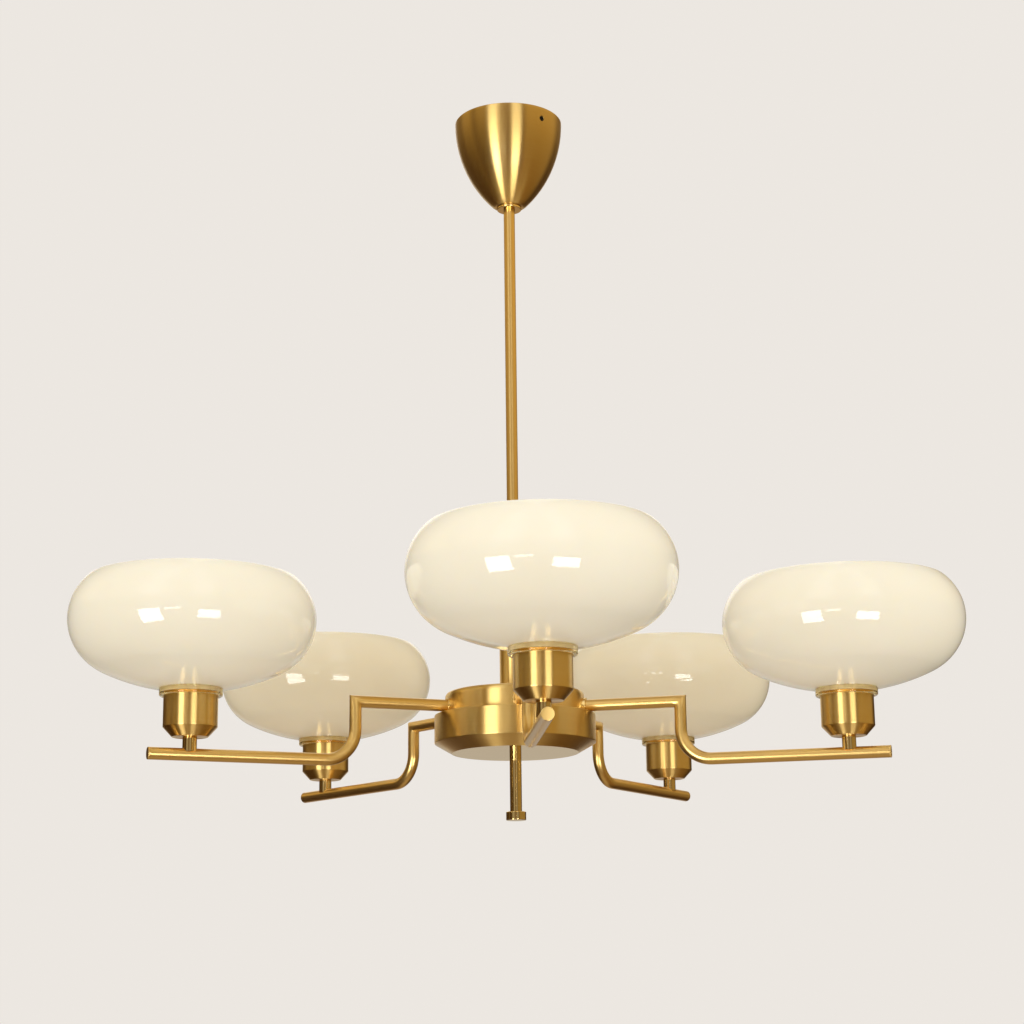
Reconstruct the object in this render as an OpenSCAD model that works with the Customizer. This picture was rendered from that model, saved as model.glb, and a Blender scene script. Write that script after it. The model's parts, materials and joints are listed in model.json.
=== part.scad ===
// Five-arm hanging light with open glass bowls.
// Origin: centre of the ceiling plate's top face. +Z up, the light hangs down from it.
// Arm 1 points along -Y; the arms are numbered anticlockwise seen from above.

/* [Overall] */
// Number of arms (the node list, joints and openings belong to five)
arm_count = 5; // [5]
// From the ceiling to the centre line of the arms' lower runs
hang_h = 582; // [560:1:900]
// Outside diameter of the stem, the arms and the finial tube
tube_d = 10; // [9.5:0.5:10]
// Wall of those tubes
tube_wall = 1; // [0.8:0.1:1]

/* [Arms] */
// Height of the upper runs over the lower runs, between centre lines
arm_rise = 48.5; // [47:0.5:52]
// From the lamp's axis to the arms' vertical legs
leg_r = 141; // [136:1:150]
// From the lamp's axis to the closed ends of the arms
arm_end_r = 311.5; // [305:0.5:330]
// From the lamp's axis to the centre of a bowl
bowl_r = 278; // [276:1:284]
// Centre-line radius of the bend at the foot of a leg
bend_r = 25; // [18:1:30]
// Thickness of the disc that closes an arm's end
cap_t = 1.4; // [1:0.1:3]
// Diameter of the collar where an arm enters the hub
ferrule_d = 13; // [12:0.5:14]
// How far that collar stands out of the hub
ferrule_l = 3; // [2:0.5:6]

/* [Posts and cups] */
// Diameter of the turned post between an arm and its cup
post_d = 11.4; // [11:0.1:12]
// Height of a cup's underside over the centre line of the lower run
cup_base_h = 13.8; // [12:0.2:20]
// Outside diameter of a cup
cup_d = 43.2; // [42.8:0.1:43.4]
// Diameter of a cup's flat underside, inside its chamfer
cup_base_d = 28.8; // [24:0.2:34]
// Height of a cup
cup_h = 35; // [33:0.5:36]
// Height of the chamfer at a cup's foot
cup_chamfer_h = 7.8; // [5:0.2:10]
// Wall of a cup
cup_wall = 0.9; // [0.8:0.1:1]

/* [Glass bowls] */
// Radius of the bowl's shallow base, centred on its axis
base_arc_r = 171.6; // [165:0.2:175]
// Slope of the glass where the base meets the side
base_slope = 25; // [24:0.5:26]
// Radius of the side from the base up to the widest point
side_arc_r = 45.5; // [44:0.1:46]
// Radius of the side from the widest point up to the rim
top_arc_r = 43; // [40:0.1:44]
// Height of the base arc's lowest point over the cup's rim
base_lift = 1.9; // [1.5:0.1:2.5]
// Height of the rim over the cup's rim
bowl_h = 91.7; // [86:0.1:95]
// Wall of the glass
glass_t = 3.6; // [3:0.1:4]
// Diameter of the thick foot ring that rests on the cup
lip_d = 50.4; // [49:0.2:52]
// Height of the foot ring over the cup's rim
lip_h = 5.2; // [4.8:0.1:6]
// How far the foot ring drops round the outside of the cup
lip_drop = 2.6; // [2:0.1:3.5]
// Hole through the glass
bowl_hole_d = 36.8; // [36.6:0.1:37]

/* [Hub] */
// Diameter of the upper tier, which the arms enter
hub_upper_d = 118; // [114:1:120]
// Diameter of the lower tier
hub_lower_d = 136; // [132:1:140]
// Top of the hub over the centre line of the lower runs
hub_top_h = 62; // [61:0.5:64]
// Where the two tiers meet, over the same line
hub_join_h = 42.8; // [42:0.1:42.9]
// Lower edge of the straight side of the lower tier
hub_edge_h = 19.3; // [16:0.1:22]
// Flat underside of the hub
hub_base_h = 10.9; // [9:0.1:13]
// Diameter of that flat underside
hub_base_d = 107; // [100:1:112]
// Radius of the rounded top edge
hub_round_r = 5; // [3:0.5:6]
// Wall of the spun shells
shell_t = 1.2; // [1:0.1:1.5]
// Diameter of the sleeve that stands on the hub
sleeve_d = 25; // [22:1:30]
// Height of that sleeve
sleeve_h = 42; // [25:1:60]

/* [Finial] */
// Length of the tube under the hub
finial_l = 48.8; // [30:0.1:70]
// Diameter of the turned knob at its end
knob_d = 16.8; // [15:0.1:20]
// Height of the knob
knob_h = 7.1; // [6.5:0.1:12]

/* [Ceiling cup] */
// Diameter of the ceiling cup at its open rim
canopy_d = 96; // [96:0.5:104]
// Height of the ceiling cup
canopy_h = 80; // [76:0.5:84]
// Radius of its bullet-shaped side
canopy_arc_r = 110; // [108:1:114]
// Gap between the ceiling and the cup's rim
canopy_gap = 1; // [0.5:0.1:2]
// Depth of its two side screws under the rim
screw_depth = 10.5; // [9:0.5:13]
// Direction of the screws, turned from -Y towards +X
screw_turn = 35; // [0:1:60]
// Screw hole spacing of the ceiling plate
slot_spacing = 60; // [54:1:64]

/* [Hidden] */
$fn = 64;
eps = 0.01;
step_a = 360 / arm_count;
tube_r = tube_d / 2;
bore_r = tube_r - tube_wall;
run_z = -hang_h;
top_z = run_z + arm_rise;
arm_in_r = 50;
bowl_z = run_z + cup_base_h + cup_h;
cup_floor_z = run_z + cup_base_h;
cup_floor_t = cup_wall;

// M10 stud on each post, its nut and the holder screwed onto it
stud_r = 4.95;
stud_h = 9.5;
wire_bore_r = 3;
cup_nut_af = 14;
cup_nut_h = 3;
holder_r = 13;
holder_z = cup_floor_z + cup_floor_t + cup_nut_h;
holder_h = 42;
holder_bore_r = 7.6;
holder_bore_h = 23;
holder_foot_h = 7;
holder_wire_r = 2.2;

// Candle bulb: E14 cap and its glass
lamp_r = 17.5;
lamp_cap_r = 6.9;
lamp_cap_h = 21.5;
lamp_z = holder_z + holder_h + 0.6;
lamp_h = 77;
lamp_wide_h = 27;
lamp_foot_r = 7.4;
lamp_nose_r = 2.4;
lamp_wall = 1;

// Bowl profile: the side's arc is tangent to the base arc at base_slope
base_c_h = base_lift + base_arc_r;
side_c_r = (base_arc_r - side_arc_r) * sin(base_slope);
side_c_h = base_c_h - (base_arc_r - side_arc_r) * cos(base_slope);
top_c_r = side_c_r + side_arc_r - top_arc_r;
lip_gap = 0.4;
lip_in_r = cup_d / 2 + lip_gap;
lip_round_r = 1.5;

// Ceiling plate, its boss and what hangs from it
plate_r = 43.5;
plate_t = 2;
plate_rim_h = 18;
plate_rim_t = 1.5;
slot_w = 5.5;
slot_l = 14;
entry_y = -24;
entry_r = 6;
boss_r = 9;
boss_h = 14;
m8_r = 3.95;
m8_bore_r = 2.8;
hanger_h = 40;
hanger_top_h = 4;
hanger_nut_h = 5;
m8_nut_af = 13;
fit_gap = 0.05;
stem_top_z = -boss_h - hanger_nut_h - 0.4;
stem_hub_z = run_z + hub_top_h;
window_z = -52;
window_w = 6;
window_h = 20;
block_x = 28;
block_y = 16;
block_h = 14;
block_at_y = 22;
clamp_r = 2.6;
clamp_h = 6;

// Ceiling cup
canopy_z = -canopy_gap;
canopy_r = canopy_d / 2;
canopy_c_r = canopy_r - canopy_arc_r;
canopy_hole_r = 7.6;
bush_r = 10.9;
bush_h = 2.5;
bush_neck_r = 7.5;
bush_neck_h = 7;
bush_nut_af = 19;
bush_nut_h = 3;
slide_gap = 0.08;
screw_r = 2;
screw_tip_r = plate_r + 0.4;
screw_sunk = 0.5;
screw_slot = 0.6;
screw_head_r = canopy_c_r + sqrt(pow(canopy_arc_r, 2) - pow(screw_depth, 2)) - screw_sunk;

// Hub core
hub_nut_h = 4;
spindle_top_z = stem_hub_z + 16;
spindle_end_z = run_z + hub_base_h - finial_l - 4.5;
knob_gap = 0.1;
knob_hole_h = 5;
spindle_solid_h = 12;
spindle_window_w = 5.2;
spindle_window_h = 18;
arm_nut_af = 14;
arm_nut_h = 3;
shelf_r = 57.5;
splice_r = 4.2;
splice_l = 15;
splice_at_r = 20;

// Leads
lead_r = 1.3;
lead_turn_r = 4;
lead_foot_r = 6;
cable_r = 2;
cable_turn_r = 8;
cable_foot_z = top_z + 2;

brass = [0.72, 0.53, 0.24];
bright_brass = [0.85, 0.66, 0.32];
zinc = [0.70, 0.70, 0.72];
cream_glass = [0.94, 0.90, 0.80];
white_plastic = [0.93, 0.93, 0.90];
bulb_white = [0.96, 0.96, 0.93];
black = [0.10, 0.10, 0.10];
clear_lead = [0.80, 0.76, 0.66];

// ---------- helpers ----------

// Turns something drawn along +X into the place of arm i
module at_arm(i) {
    rotate([0, 0, -90 + step_a * (i - 1)]) children();
}

// A hexagon nut standing on z = 0
module nut(af, h, hole_r) {
    difference() {
        cylinder(h = h, r = af / sqrt(3), $fn = 6);
        translate([0, 0, -1]) cylinder(h = h + 2, r = hole_r);
    }
}

// A rod along +X from x0 to x1 at height z
module rod_x(x0, x1, z, r) {
    translate([x0, 0, z]) rotate([0, 90, 0]) cylinder(h = x1 - x0, r = r);
}

// A quarter bend in the XZ plane about (cx, cz); a0 is the angle it starts from, from +X towards +Z
module bend_xz(cx, cz, turn_r, r, a0) {
    translate([cx, 0, cz]) rotate([90, 0, 0]) rotate([0, 0, a0])
        rotate_extrude(angle = 90) translate([turn_r, 0]) circle(r = r);
}

// ---------- ceiling plate and hanger ----------

module slot(x) {
    for (s = [-1, 1])
        translate([x + s * (slot_l - slot_w) / 2, 0, -plate_t - 1]) cylinder(h = plate_t + 2, d = slot_w);
    translate([x - (slot_l - slot_w) / 2, -slot_w / 2, -plate_t - 1]) cube([slot_l - slot_w, slot_w, plate_t + 2]);
}

module ceiling_plate() {
    color(zinc) difference() {
        union() {
            difference() {
                translate([0, 0, -plate_rim_h]) cylinder(h = plate_rim_h, r = plate_r);
                translate([0, 0, -plate_rim_h - 1])
                    cylinder(h = plate_rim_h - plate_t + 1, r = plate_r - plate_rim_t);
            }
            translate([0, 0, -boss_h]) cylinder(h = boss_h - 1, r = boss_r);
        }
        for (s = [-1, 1]) slot(s * slot_spacing / 2);
        translate([0, entry_y, -plate_t - 1]) cylinder(h = plate_t + 2, r = entry_r);
        translate([0, 0, -boss_h - 1]) cylinder(h = boss_h - 3, r = m8_r + fit_gap);
    }
}

module hanger_nipple() {
    color(bright_brass) translate([0, 0, -hanger_top_h - hanger_h]) difference() {
        cylinder(h = hanger_h - 0.2, r = m8_r);
        translate([0, 0, -1]) cylinder(h = hanger_h + 2, r = m8_bore_r);
    }
}

module hanger_nut() {
    color(zinc) translate([0, 0, -boss_h - hanger_nut_h - 0.2]) nut(m8_nut_af, hanger_nut_h, m8_r + fit_gap);
}

module terminal_block() {
    color(white_plastic) translate([-block_x / 2, block_at_y - block_y / 2, -plate_t - block_h]) difference() {
        cube([block_x, block_y, block_h]);
        for (k = [0:2]) translate([block_x * (k + 0.5) / 3, block_y / 2, -1])
            cylinder(h = clamp_h + 1, r = clamp_r);
    }
}

// Two-core cable: down the stem, out to the block at its top, out to the splices at its foot
module supply_cable() {
    high_z = window_z;
    low_z = cable_foot_z;
    top_x = block_at_y;
    color(white_plastic) {
        rotate([0, 0, 90]) {
            translate([top_x, 0, high_z + cable_turn_r])
                cylinder(h = -plate_t - block_h - high_z - cable_turn_r, r = cable_r);
            bend_xz(top_x - cable_turn_r, high_z + cable_turn_r, cable_turn_r, cable_r, -90);
            rod_x(cable_turn_r, top_x - cable_turn_r, high_z, cable_r);
            bend_xz(cable_turn_r, high_z - cable_turn_r, cable_turn_r, cable_r, 90);
        }
        translate([0, 0, low_z + cable_turn_r])
            cylinder(h = high_z - low_z - 2 * cable_turn_r, r = cable_r);
        rotate([0, 0, 90]) {
            bend_xz(cable_turn_r, low_z + cable_turn_r, cable_turn_r, cable_r, 180);
            rod_x(cable_turn_r, splice_at_r + 4, low_z, cable_r);
        }
    }
}

// ---------- ceiling cup ----------

// Half section of the bullet: an arc whose centre lies beyond the axis, cut flat at the foot
module bullet_2d(inset) {
    intersection() {
        translate([canopy_c_r, 0]) circle(r = canopy_arc_r - inset);
        translate([0, -canopy_h + inset]) square([canopy_r, canopy_h - inset + (inset > 0 ? 5 : 0)]);
    }
}

module canopy() {
    color(brass) translate([0, 0, canopy_z]) difference() {
        rotate_extrude() bullet_2d(0);
        rotate_extrude() bullet_2d(shell_t);
        translate([0, 0, -canopy_h - 1]) cylinder(h = shell_t + 2, r = canopy_hole_r);
        for (s = [0, 180]) rotate([0, 0, -90 + screw_turn + s])
            rod_x(plate_r - 1, canopy_r + 1, -screw_depth, screw_r + fit_gap);
    }
}

module canopy_bush() {
    z0 = canopy_z - canopy_h;
    color(bright_brass) difference() {
        union() {
            translate([0, 0, z0 - bush_h]) cylinder(h = bush_h, r = bush_r);
            translate([0, 0, z0 - 1]) cylinder(h = bush_neck_h + 1, r = bush_neck_r);
        }
        translate([0, 0, z0 - bush_h - 1]) cylinder(h = bush_neck_h + bush_h + 2, r = tube_r + slide_gap);
    }
}

module canopy_bush_nut() {
    color(zinc) translate([0, 0, canopy_z - canopy_h + shell_t])
        nut(bush_nut_af, bush_nut_h, bush_neck_r + fit_gap);
}

module canopy_screws() {
    color(black) for (s = [0, 180]) rotate([0, 0, -90 + screw_turn + s]) difference() {
        rod_x(screw_tip_r, screw_head_r, canopy_z - screw_depth, screw_r);
        translate([screw_head_r - 0.8, -screw_r, canopy_z - screw_depth - screw_slot / 2])
            cube([2, 2 * screw_r, screw_slot]);
    }
}

// ---------- stem and hub ----------

module stem() {
    color(brass) difference() {
        translate([0, 0, stem_hub_z]) cylinder(h = stem_top_z - stem_hub_z, r = tube_r);
        translate([0, 0, stem_hub_z - 1]) cylinder(h = stem_top_z - stem_hub_z + 2, r = bore_r);
        translate([-window_w / 2, 0, window_z - window_h + 4]) cube([window_w, tube_r + 1, window_h]);
    }
}

module stem_sleeve() {
    round_r = 2;
    color(brass) translate([0, 0, stem_hub_z]) rotate_extrude() difference() {
        union() {
            square([sleeve_d / 2, sleeve_h - round_r]);
            square([sleeve_d / 2 - round_r, sleeve_h]);
            translate([sleeve_d / 2 - round_r, sleeve_h - round_r]) circle(r = round_r);
        }
        translate([-1, -1]) square([sleeve_d / 2 - shell_t + 1, sleeve_h - shell_t + 1]);
        translate([-1, -1]) square([tube_r + fit_gap + 1, sleeve_h + 2]);
    }
}

// Half section of the hub's upper tier, closed at the top with a rounded edge
module hub_top_2d(inset) {
    r = hub_upper_d / 2 - inset;
    h = hub_top_h - hub_join_h - inset;
    e = hub_round_r - inset;
    union() {
        square([r, h - e]);
        square([r - e, h]);
        translate([r - e, h - e]) circle(r = e);
    }
}

module hub_top() {
    color(brass) translate([0, 0, run_z + hub_join_h]) difference() {
        rotate_extrude() hub_top_2d(0);
        rotate_extrude() hub_top_2d(shell_t);
        translate([0, 0, -1]) cylinder(h = 1.1, r = hub_upper_d / 2 - shell_t);
        cylinder(h = hub_top_h, r = m8_r + fit_gap);
        for (i = [1:arm_count]) at_arm(i)
            rod_x(arm_in_r, hub_upper_d / 2 + 2, arm_rise - hub_join_h, tube_r + fit_gap);
    }
}

// The lower tier: a spun pan with a cone under it and a shelf turned in at its top
module hub_bowl_2d(inset) {
    r = hub_lower_d / 2 - inset;
    polygon([
        [0, hub_base_h + inset], [hub_base_d / 2 - inset / 2, hub_base_h + inset],
        [r, hub_edge_h + inset / 2], [r, hub_join_h - inset], [0, hub_join_h - inset]
    ]);
}

module hub_bowl() {
    color(brass) translate([0, 0, run_z]) difference() {
        rotate_extrude() hub_bowl_2d(0);
        rotate_extrude() hub_bowl_2d(shell_t);
        translate([0, 0, hub_join_h - shell_t - 1]) cylinder(h = shell_t + 2, r = shelf_r);
        cylinder(h = hub_base_h + shell_t + 1, r = m8_r + fit_gap);
    }
}

module hub_spindle() {
    h = spindle_top_z - spindle_end_z;
    color(bright_brass) difference() {
        translate([0, 0, spindle_end_z]) cylinder(h = h, r = m8_r);
        translate([0, 0, spindle_end_z + spindle_solid_h]) cylinder(h = h, r = m8_bore_r);
        translate([-spindle_window_w / 2, 0, top_z - spindle_window_h / 3])
            cube([spindle_window_w, m8_r + 1, spindle_window_h]);
    }
}

module hub_nuts() {
    color(zinc) {
        translate([0, 0, stem_hub_z - shell_t - hub_nut_h]) nut(m8_nut_af, hub_nut_h, m8_r + fit_gap);
        translate([0, 0, run_z + hub_base_h + shell_t]) nut(m8_nut_af, hub_nut_h, m8_r + fit_gap);
    }
}

// Closed splice caps: one on each lead's inner end, one on the supply cable's foot
module hub_splices() {
    color(white_plastic) {
        for (i = [1:arm_count]) at_arm(i) difference() {
            rod_x(splice_at_r, splice_at_r + splice_l, top_z, splice_r);
            rod_x(splice_at_r + 2, splice_at_r + splice_l + 1, top_z, lead_r + fit_gap);
        }
        rotate([0, 0, 90]) difference() {
            rod_x(splice_at_r, splice_at_r + splice_l, cable_foot_z, splice_r);
            rod_x(splice_at_r - 1, splice_at_r + splice_l - 2, cable_foot_z, cable_r + fit_gap);
        }
    }
}

module finial_tube() {
    color(brass) translate([0, 0, run_z + hub_base_h - finial_l]) difference() {
        cylinder(h = finial_l, r = tube_r);
        translate([0, 0, -1]) cylinder(h = finial_l + 2, r = m8_r + fit_gap);
    }
}

module finial_knob() {
    edge = 0.6;
    z0 = run_z + hub_base_h - finial_l - knob_gap - knob_h;
    color(bright_brass) translate([0, 0, z0]) difference() {
        union() {
            cylinder(h = edge, r1 = knob_d / 2 - edge, r2 = knob_d / 2);
            translate([0, 0, edge]) cylinder(h = knob_h - 2 * edge, r = knob_d / 2);
            translate([0, 0, knob_h - edge]) cylinder(h = edge, r1 = knob_d / 2, r2 = knob_d / 2 - edge);
        }
        translate([0, 0, knob_h - knob_hole_h]) cylinder(h = knob_hole_h + 1, r = m8_r + slide_gap);
    }
}

// ---------- arms ----------

// One arm's centre line as solid rods of radius r: mitred elbow, leg, bend and lower run
module arm_rods(r, x0, x1) {
    far = 4 * tube_d;
    difference() {
        rod_x(x0, leg_r + far, top_z, r);
        translate([leg_r, -far, top_z]) rotate([0, 45, 0]) translate([0, 0, -2 * far])
            cube([far * 2, 2 * far, 4 * far]);
    }
    difference() {
        translate([leg_r, 0, run_z + bend_r]) cylinder(h = arm_rise - bend_r + far, r = r);
        translate([leg_r, -far, top_z]) rotate([0, 45, 0]) translate([-2 * far, 0, -2 * far])
            cube([far * 2, 2 * far, 4 * far]);
    }
    bend_xz(leg_r + bend_r, run_z + bend_r, bend_r, r, 180);
    rod_x(leg_r + bend_r, x1, run_z, r);
}

module arm(i) {
    color(brass) at_arm(i) difference() {
        arm_rods(tube_r, arm_in_r, arm_end_r - cap_t);
        arm_rods(bore_r, arm_in_r - 1, arm_end_r + 1);
        translate([bowl_r, 0, run_z]) cylinder(h = 2 * tube_r, r = wire_bore_r);
    }
}

module arm_caps() {
    plug_l = 4;
    color(brass) for (i = [1:arm_count]) at_arm(i) {
        rod_x(arm_end_r - cap_t, arm_end_r, run_z, tube_r);
        rod_x(arm_end_r - cap_t - plug_l, arm_end_r - cap_t / 2, run_z, bore_r - fit_gap);
    }
}

module arm_ferrules() {
    color(bright_brass) for (i = [1:arm_count]) at_arm(i) difference() {
        rod_x(hub_upper_d / 2 - 2, hub_upper_d / 2 + ferrule_l, top_z, ferrule_d / 2);
        rod_x(arm_in_r, hub_upper_d / 2 + ferrule_l + 1, top_z, tube_r + fit_gap);
        translate([0, 0, run_z + hub_join_h]) cylinder(h = hub_top_h, r = hub_upper_d / 2);
        translate([0, -ferrule_d, run_z]) cube([hub_upper_d, 2 * ferrule_d, hub_join_h]);
    }
}

module arm_nuts() {
    corner_gap = 0.7;
    x0 = hub_upper_d / 2 - shell_t - arm_nut_h - corner_gap;
    color(zinc) for (i = [1:arm_count]) at_arm(i)
        translate([x0, 0, top_z]) rotate([0, 90, 0]) rotate([0, 0, 30])
            nut(arm_nut_af, arm_nut_h, tube_r + fit_gap);
}

// Thin two-core lead from the splice to the lampholder, inside the tube all the way
module arm_leads() {
    color(clear_lead) for (i = [1:arm_count]) at_arm(i) {
        rod_x(splice_at_r + 3, leg_r - lead_turn_r, top_z, lead_r);
        bend_xz(leg_r - lead_turn_r, top_z - lead_turn_r, lead_turn_r, lead_r, 0);
        translate([leg_r, 0, run_z + bend_r]) cylinder(h = arm_rise - bend_r - lead_turn_r, r = lead_r);
        bend_xz(leg_r + bend_r, run_z + bend_r, bend_r, lead_r, 180);
        rod_x(leg_r + bend_r, bowl_r - lead_foot_r, run_z, lead_r);
        bend_xz(bowl_r - lead_foot_r, run_z + lead_foot_r, lead_foot_r, lead_r, -90);
        translate([bowl_r, 0, run_z + lead_foot_r])
            cylinder(h = holder_z + holder_h - holder_bore_h - 1 - run_z - lead_foot_r, r = lead_r);
    }
}

// ---------- posts, cups, holders ----------

// Turned post, saddle-cut to sit on the tube, with an M10 stud on top
module post(i) {
    color(bright_brass) at_arm(i) translate([bowl_r, 0, 0]) difference() {
        union() {
            translate([0, 0, run_z]) cylinder(h = cup_base_h, r = post_d / 2);
            translate([0, 0, run_z + cup_base_h - 1]) cylinder(h = stud_h + 1, r = stud_r);
        }
        rod_x(-post_d, post_d, run_z, tube_r);
        translate([-post_d, -post_d, run_z - 1]) cube([2 * post_d, 2 * post_d, 1 + 2]);
        translate([0, 0, run_z]) cylinder(h = cup_base_h + stud_h + 1, r = wire_bore_r);
    }
}

module cup_2d(inset) {
    r = cup_d / 2 - inset;
    polygon([
        [0, inset], [cup_base_d / 2 - inset * 0.4, inset], [r, cup_chamfer_h + inset * 0.4],
        [r, cup_h + (inset > 0 ? 2 : 0)], [0, cup_h + (inset > 0 ? 2 : 0)]
    ]);
}

module cup(i) {
    color(brass) at_arm(i) translate([bowl_r, 0, cup_floor_z]) difference() {
        rotate_extrude() cup_2d(0);
        rotate_extrude() cup_2d(cup_wall);
        translate([0, 0, -1]) cylinder(h = cup_floor_t + 2, r = stud_r + fit_gap);
    }
}

module cup_nuts() {
    color(zinc) for (i = [1:arm_count]) at_arm(i) translate([bowl_r, 0, cup_floor_z + cup_floor_t])
        nut(cup_nut_af, cup_nut_h, stud_r + fit_gap);
}

// E14 holder: a plain sleeve with the stud's hole in its foot and the cap's bore in its top
module lampholder(i) {
    mouth = 1.2;
    color(white_plastic) at_arm(i) translate([bowl_r, 0, holder_z]) difference() {
        union() {
            cylinder(h = holder_h - mouth, r = holder_r);
            translate([0, 0, holder_h - mouth]) cylinder(h = mouth, r1 = holder_r, r2 = holder_r - mouth);
        }
        translate([0, 0, -1]) cylinder(h = holder_foot_h + 1, r = stud_r + fit_gap);
        translate([0, 0, -1]) cylinder(h = holder_h, r = holder_wire_r);
        translate([0, 0, holder_h - holder_bore_h]) cylinder(h = holder_bore_h + 1, r = holder_bore_r);
    }
}

// ---------- bulbs ----------

module bulb_cap(i) {
    tip_h = 2.5;
    contact_r = 3;
    shoulder_r = 5.5;
    color(zinc) at_arm(i) translate([bowl_r, 0, lamp_z]) {
        translate([0, 0, -lamp_cap_h + tip_h]) cylinder(h = lamp_cap_h - tip_h, r = lamp_cap_r);
        translate([0, 0, -lamp_cap_h]) cylinder(h = tip_h + 1, r1 = contact_r, r2 = shoulder_r);
    }
}

// Half section of the candle: two arcs, both upright at the widest point, and a round nose
module candle_2d(inset) {
    tip = lamp_h - lamp_wide_h;
    foot = lamp_wide_h;
    up_r = (tip * tip + lamp_r * lamp_r) / (2 * lamp_r);
    down_r = (foot * foot + pow(lamp_r - lamp_foot_r, 2)) / (2 * (lamp_r - lamp_foot_r));
    nose_h = lamp_wide_h + sqrt(pow(up_r, 2) - pow(up_r - lamp_r + lamp_nose_r, 2));
    intersection() {
        translate([lamp_r - up_r, lamp_wide_h]) circle(r = up_r - inset);
        translate([0, lamp_wide_h]) square([lamp_r, nose_h - lamp_wide_h - inset]);
    }
    if (inset == 0) intersection() {
        translate([0, nose_h]) circle(r = lamp_nose_r);
        translate([0, nose_h - lamp_nose_r]) square([lamp_nose_r, 2 * lamp_nose_r]);
    }
    intersection() {
        translate([lamp_r - down_r, lamp_wide_h]) circle(r = down_r - inset);
        translate([0, -inset]) square([lamp_r, lamp_wide_h + inset]);
    }
}

module bulb(i) {
    color(bulb_white) at_arm(i) translate([bowl_r, 0, lamp_z]) difference() {
        rotate_extrude() candle_2d(0);
        rotate_extrude() candle_2d(lamp_wall);
    }
}

// ---------- glass bowls ----------

// Half section of the bowl's bulk, from the axis out to the glass, shrunk by inset
module bowl_2d(inset) {
    open_h = inset > 0 ? 10 : 0;
    join_r = base_arc_r * sin(base_slope);
    join_h = base_c_h - base_arc_r * cos(base_slope);
    intersection() {
        translate([0, base_c_h]) circle(r = base_arc_r - inset);
        polygon([[0, 0], [join_r, 0], [join_r, join_h], [side_c_r, side_c_h], [0, side_c_h]]);
    }
    intersection() {
        translate([side_c_r, side_c_h]) circle(r = side_arc_r - inset);
        polygon([[side_c_r, side_c_h], [join_r, join_h], [join_r, 0], [side_c_r + 60, 0], [side_c_r + 60, side_c_h]]);
    }
    intersection() {
        translate([top_c_r, side_c_h]) circle(r = top_arc_r - inset);
        translate([0, side_c_h]) square([top_c_r + top_arc_r, bowl_h - side_c_h + open_h]);
    }
    translate([0, side_c_h - eps]) square([top_c_r, bowl_h - side_c_h + eps + open_h]);
}

// Half section of the foot ring: a ledge on the cup's rim and a skirt round it, rounded outside
module lip_2d() {
    r = lip_d / 2;
    w = r - lip_in_r;
    square([r - lip_round_r, lip_h]);
    square([r, lip_h - lip_round_r]);
    translate([r - lip_round_r, lip_h - lip_round_r]) circle(r = lip_round_r);
    translate([lip_in_r, -lip_drop]) square([w - lip_round_r, lip_drop + 1]);
    translate([lip_in_r, -lip_drop + lip_round_r]) square([w, lip_drop]);
    translate([r - lip_round_r, -lip_drop + lip_round_r]) circle(r = lip_round_r);
}

module shade(i) {
    color(cream_glass) at_arm(i) translate([bowl_r, 0, bowl_z]) difference() {
        union() {
            difference() {
                rotate_extrude() bowl_2d(0);
                rotate_extrude() bowl_2d(glass_t);
            }
            rotate_extrude() lip_2d();
        }
        translate([0, 0, -1]) cylinder(h = 3 * lip_h, r = bowl_hole_d / 2);
    }
}

// ---------- nodes ----------

ceiling_plate();
hanger_nipple();
hanger_nut();
terminal_block();
supply_cable();
canopy();
canopy_bush();
canopy_bush_nut();
canopy_screws();
stem();
stem_sleeve();
hub_top();
hub_bowl();
hub_spindle();
hub_nuts();
hub_splices();
finial_tube();
finial_knob();
arm_ferrules();
arm_nuts();
arm_caps();
arm_leads();
cup_nuts();
for (i = [1:arm_count]) {
    arm(i);
    post(i);
    cup(i);
    lampholder(i);
    bulb_cap(i);
    bulb(i);
    shade(i);
}
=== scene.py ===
import json
from math import asin, atan2, cos, degrees, pi, radians, sin, sqrt, tan

import bmesh
import bpy
from mathutils import Matrix, Vector


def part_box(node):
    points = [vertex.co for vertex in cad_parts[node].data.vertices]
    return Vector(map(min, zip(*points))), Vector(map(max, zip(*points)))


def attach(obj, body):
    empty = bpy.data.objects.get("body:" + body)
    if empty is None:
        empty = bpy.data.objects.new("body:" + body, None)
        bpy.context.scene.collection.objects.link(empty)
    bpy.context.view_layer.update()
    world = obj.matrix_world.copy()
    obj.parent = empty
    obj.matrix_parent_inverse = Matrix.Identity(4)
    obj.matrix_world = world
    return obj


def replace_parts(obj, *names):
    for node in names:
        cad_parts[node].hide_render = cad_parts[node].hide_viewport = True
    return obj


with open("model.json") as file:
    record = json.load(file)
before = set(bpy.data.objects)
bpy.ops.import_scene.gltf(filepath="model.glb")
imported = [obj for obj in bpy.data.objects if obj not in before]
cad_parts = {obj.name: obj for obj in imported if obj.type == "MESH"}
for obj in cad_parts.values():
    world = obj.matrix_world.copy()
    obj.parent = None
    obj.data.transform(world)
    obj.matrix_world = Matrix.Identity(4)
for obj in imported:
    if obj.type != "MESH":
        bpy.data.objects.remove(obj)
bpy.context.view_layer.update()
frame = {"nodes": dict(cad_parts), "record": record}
scene = bpy.context.scene

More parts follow.
